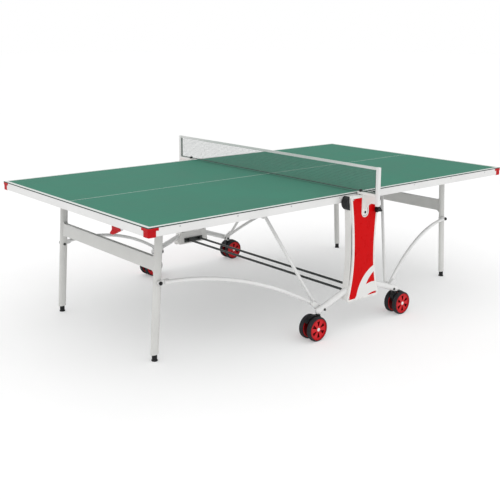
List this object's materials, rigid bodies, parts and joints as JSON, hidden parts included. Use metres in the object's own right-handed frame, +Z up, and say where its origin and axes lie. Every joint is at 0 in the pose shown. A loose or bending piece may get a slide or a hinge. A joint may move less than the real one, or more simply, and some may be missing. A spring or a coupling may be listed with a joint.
{
  "type": "ping pong table",
  "caption": "Foldable outdoor table-tennis table with a rolling centre chassis, side panels, linked legs, twin castors, and a net on posts.",
  "frame": {"origin": "on the floor under the middle of the net, table set up for play", "axes": "+X along the playing length, +Y across the table, +Z up"},
  "size_m": [2.74, 1.826, 0.9125],
  "materials": {
    "board_green": "matte playing surface with white lines",
    "white_steel": "satin powder coat",
    "leg_steel": "satin light grey powder coat",
    "grey_steel": "satin grey powder coat",
    "zinc_steel": "zinc plated",
    "dark_steel": "satin black",
    "red_plastic": "satin moulded plastic",
    "white_plastic": "semi-gloss moulded plastic",
    "panel_red": "gloss printed plastic",
    "black_plastic": "satin moulded plastic",
    "tyre_rubber": "matt rubber",
    "hub_red": "satin moulded plastic",
    "net_cloth": "open knotted mesh",
    "net_tape": "woven white tape"
  },
  "bodies": {
    "chassis": {"near_column": "grey_steel", "far_column": "grey_steel", "near_side_panel": "white_plastic", "far_side_panel": "white_plastic", "panel_inlays": "panel_red", "near_base_tube": "white_steel", "far_base_tube": "white_steel", "cross_rods": "dark_steel", "net_brackets": "grey_steel", "net_posts": "white_steel", "net": "net_cloth", "net_tape": "net_tape", "guide_covers": "black_plastic", "arm_bolts": "dark_steel"},
    "near_net_knob": {"near_net_knob": "black_plastic"},
    "far_net_knob": {"far_net_knob": "black_plastic"},
    "right_carriage": {"right_guide_shaft": "zinc_steel", "right_guide_rollers": "black_plastic"},
    "right_half": {"right_board": "board_green", "right_side_rails": "white_steel", "right_cross_rails": "white_steel", "right_ribs": "grey_steel", "right_corner_caps": "red_plastic", "right_underframe_brackets": "zinc_steel"},
    "right_release_lever": {"right_release_lever": "red_plastic"},
    "right_struts": {"right_struts": "white_steel"},
    "right_links": {"right_links": "white_steel"},
    "right_leg_frame": {"right_legs": "leg_steel", "right_leg_crossbar": "leg_steel", "right_leg_bolts": "dark_steel"},
    "right_near_foot": {"right_near_foot": "black_plastic"},
    "right_near_castor": {"right_near_castor_fork": "black_plastic"},
    "right_near_wheels": {"right_near_tyres": "tyre_rubber", "right_near_hubs": "hub_red"},
    "right_far_foot": {"right_far_foot": "black_plastic"},
    "right_far_castor": {"right_far_castor_fork": "black_plastic"},
    "right_far_wheels": {"right_far_tyres": "tyre_rubber", "right_far_hubs": "hub_red"},
    "left_carriage": {"left_guide_shaft": "zinc_steel", "left_guide_rollers": "black_plastic"},
    "left_half": {"left_board": "board_green", "left_side_rails": "white_steel", "left_cross_rails": "white_steel", "left_ribs": "grey_steel", "left_corner_caps": "red_plastic", "left_underframe_brackets": "zinc_steel"},
    "left_release_lever": {"left_release_lever": "red_plastic"},
    "left_struts": {"left_struts": "white_steel"},
    "left_links": {"left_links": "white_steel"},
    "left_leg_frame": {"left_legs": "leg_steel", "left_leg_crossbar": "leg_steel", "left_leg_bolts": "dark_steel"},
    "left_near_foot": {"left_near_foot": "black_plastic"},
    "left_near_castor": {"left_near_castor_fork": "black_plastic"},
    "left_near_wheels": {"left_near_tyres": "tyre_rubber", "left_near_hubs": "hub_red"},
    "left_far_foot": {"left_far_foot": "black_plastic"},
    "left_far_castor": {"left_far_castor_fork": "black_plastic"},
    "left_far_wheels": {"left_far_tyres": "tyre_rubber", "left_far_hubs": "hub_red"}
  },
  "joints": [
    {"name": "right_guide_slide", "type": "slide", "parent": "chassis", "child": "right_carriage", "axis": [0.0876, 0, -0.9962], "range_m": [0, 0.45699]},
    {"name": "right_fold", "type": "hinge", "parent": "right_carriage", "child": "right_half", "pos_m": [0.05, 0, 0.718], "axis": [0, -1, 0], "range_deg": [0, 90]},
    {"name": "right_strut_swing", "type": "hinge", "parent": "chassis", "child": "right_struts", "pos_m": [0.285, 0, 0.16], "axis": [0, -1, 0], "range_deg": [0, 38.34]},
    {"name": "right_link_swing", "type": "hinge", "parent": "chassis", "child": "right_links", "pos_m": [0.285, 0, 0.16], "axis": [0, -1, 0], "range_deg": [0, 85.95]},
    {"name": "right_leg_fold", "type": "hinge", "parent": "right_half", "child": "right_leg_frame", "pos_m": [1.124, 0, 0.708], "axis": [0, 1, 0], "range_deg": [0, 92.66]},
    {"name": "right_lever_pull", "type": "hinge", "parent": "right_half", "child": "right_release_lever", "pos_m": [1.347, 0.465, 0.705], "axis": [0, 1, 0], "range_deg": [0, 20], "stiffness_Nm_per_rad": 0.4, "springref_deg": -20.05},
    {"name": "right_near_foot_level", "type": "slide", "parent": "right_leg_frame", "child": "right_near_foot", "axis": [0, 0, -1], "range_m": [0, 0.012]},
    {"name": "right_near_swivel", "type": "hinge", "parent": "chassis", "child": "right_near_castor", "pos_m": [0.312, -0.778, 0.14], "axis": [0, 0, 1], "continuous": true},
    {"name": "right_near_wheel_spin", "type": "hinge", "parent": "right_near_castor", "child": "right_near_wheels", "pos_m": [0.345, -0.778, 0.066], "axis": [0, 1, 0], "continuous": true},
    {"name": "right_far_foot_level", "type": "slide", "parent": "right_leg_frame", "child": "right_far_foot", "axis": [0, 0, -1], "range_m": [0, 0.012]},
    {"name": "right_far_swivel", "type": "hinge", "parent": "chassis", "child": "right_far_castor", "pos_m": [0.312, 0.778, 0.14], "axis": [0, 0, 1], "continuous": true},
    {"name": "right_far_wheel_spin", "type": "hinge", "parent": "right_far_castor", "child": "right_far_wheels", "pos_m": [0.345, 0.778, 0.066], "axis": [0, 1, 0], "continuous": true},
    {"name": "left_guide_slide", "type": "slide", "parent": "chassis", "child": "left_carriage", "axis": [-0.0876, 0, -0.9962], "range_m": [0, 0.45699]},
    {"name": "left_fold", "type": "hinge", "parent": "left_carriage", "child": "left_half", "pos_m": [-0.05, 0, 0.718], "axis": [0, 1, 0], "range_deg": [0, 90]},
    {"name": "left_strut_swing", "type": "hinge", "parent": "chassis", "child": "left_struts", "pos_m": [-0.285, 0, 0.16], "axis": [0, 1, 0], "range_deg": [0, 38.34]},
    {"name": "left_link_swing", "type": "hinge", "parent": "chassis", "child": "left_links", "pos_m": [-0.285, 0, 0.16], "axis": [0, 1, 0], "range_deg": [0, 85.95]},
    {"name": "left_leg_fold", "type": "hinge", "parent": "left_half", "child": "left_leg_frame", "pos_m": [-1.124, 0, 0.708], "axis": [0, -1, 0], "range_deg": [0, 92.66]},
    {"name": "left_lever_pull", "type": "hinge", "parent": "left_half", "child": "left_release_lever", "pos_m": [-1.347, -0.465, 0.705], "axis": [0, -1, 0], "range_deg": [0, 20], "stiffness_Nm_per_rad": 0.4, "springref_deg": -20.05},
    {"name": "left_near_foot_level", "type": "slide", "parent": "left_leg_frame", "child": "left_near_foot", "axis": [0, 0, -1], "range_m": [0, 0.012]},
    {"name": "left_near_swivel", "type": "hinge", "parent": "chassis", "child": "left_near_castor", "pos_m": [-0.312, -0.778, 0.14], "axis": [0, 0, 1], "continuous": true},
    {"name": "left_near_wheel_spin", "type": "hinge", "parent": "left_near_castor", "child": "left_near_wheels", "pos_m": [-0.345, -0.778, 0.066], "axis": [0, 1, 0], "continuous": true},
    {"name": "left_far_foot_level", "type": "slide", "parent": "left_leg_frame", "child": "left_far_foot", "axis": [0, 0, -1], "range_m": [0, 0.012]},
    {"name": "left_far_swivel", "type": "hinge", "parent": "chassis", "child": "left_far_castor", "pos_m": [-0.312, 0.778, 0.14], "axis": [0, 0, 1], "continuous": true},
    {"name": "left_far_wheel_spin", "type": "hinge", "parent": "left_far_castor", "child": "left_far_wheels", "pos_m": [-0.345, 0.778, 0.066], "axis": [0, 1, 0], "continuous": true},
    {"name": "near_net_knob_turn", "type": "hinge", "parent": "chassis", "child": "near_net_knob", "pos_m": [0.09, -0.83, 0.664], "axis": [0, 1, 0], "continuous": true},
    {"name": "far_net_knob_turn", "type": "hinge", "parent": "chassis", "child": "far_net_knob", "pos_m": [-0.09, 0.83, 0.664], "axis": [0, 1, 0], "continuous": true}
  ],
  "couplings": [
    {"joint": "right_guide_slide", "follows": "right_fold", "m_per_rad": 0.29067},
    {"joint": "right_strut_swing", "follows": "right_fold", "ratio": 0.42485},
    {"joint": "right_link_swing", "follows": "right_fold", "ratio": 0.95388},
    {"joint": "right_leg_fold", "follows": "right_fold", "ratio": 1.0285},
    {"joint": "left_guide_slide", "follows": "left_fold", "m_per_rad": 0.29067},
    {"joint": "left_strut_swing", "follows": "left_fold", "ratio": 0.42485},
    {"joint": "left_link_swing", "follows": "left_fold", "ratio": 0.95388},
    {"joint": "left_leg_fold", "follows": "left_fold", "ratio": 1.0285}
  ]
}
